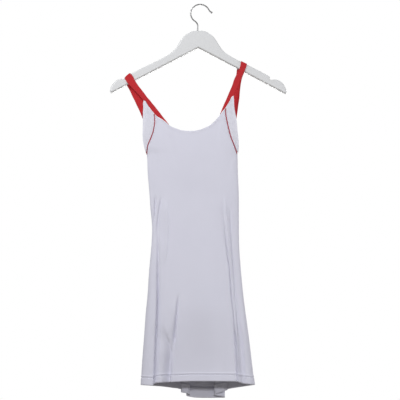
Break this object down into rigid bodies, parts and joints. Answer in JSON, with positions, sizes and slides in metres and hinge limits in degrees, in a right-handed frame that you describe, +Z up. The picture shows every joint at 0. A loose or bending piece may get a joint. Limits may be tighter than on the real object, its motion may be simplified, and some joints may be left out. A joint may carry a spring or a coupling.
{
  "type": "athletic dress on a hanger",
  "caption": "Sleeveless athletic dress with narrow straps, piped side-front seams and a box-pleated back, hanging on a wooden clothes hanger.",
  "frame": {"origin": "the inside top of the hanger's hook, where a rail carries it", "axes": "+Z up, the front of the dress faces -Y, +X is to the right seen from the front"},
  "size_m": [0.4472, 0.1088, 0.9978],
  "materials": {
    "white_jersey": "smooth matt knit with a faint sheen",
    "white_mesh": "matt fine knit",
    "red_jersey": "matt knit",
    "red_piping": "satin bias binding",
    "painted_wood": "satin white paint",
    "hook_steel": "plated wire"
  },
  "bodies": {
    "root": {"front_panel": "white_jersey", "back_panel": "white_jersey", "side_front_left": "white_mesh", "side_front_right": "white_mesh", "strap_left": "red_jersey", "strap_right": "red_jersey", "piping_left": "red_piping", "piping_right": "red_piping", "hanger_body": "painted_wood", "hanger_hook": "hook_steel"}
  },
  "joints": []
}
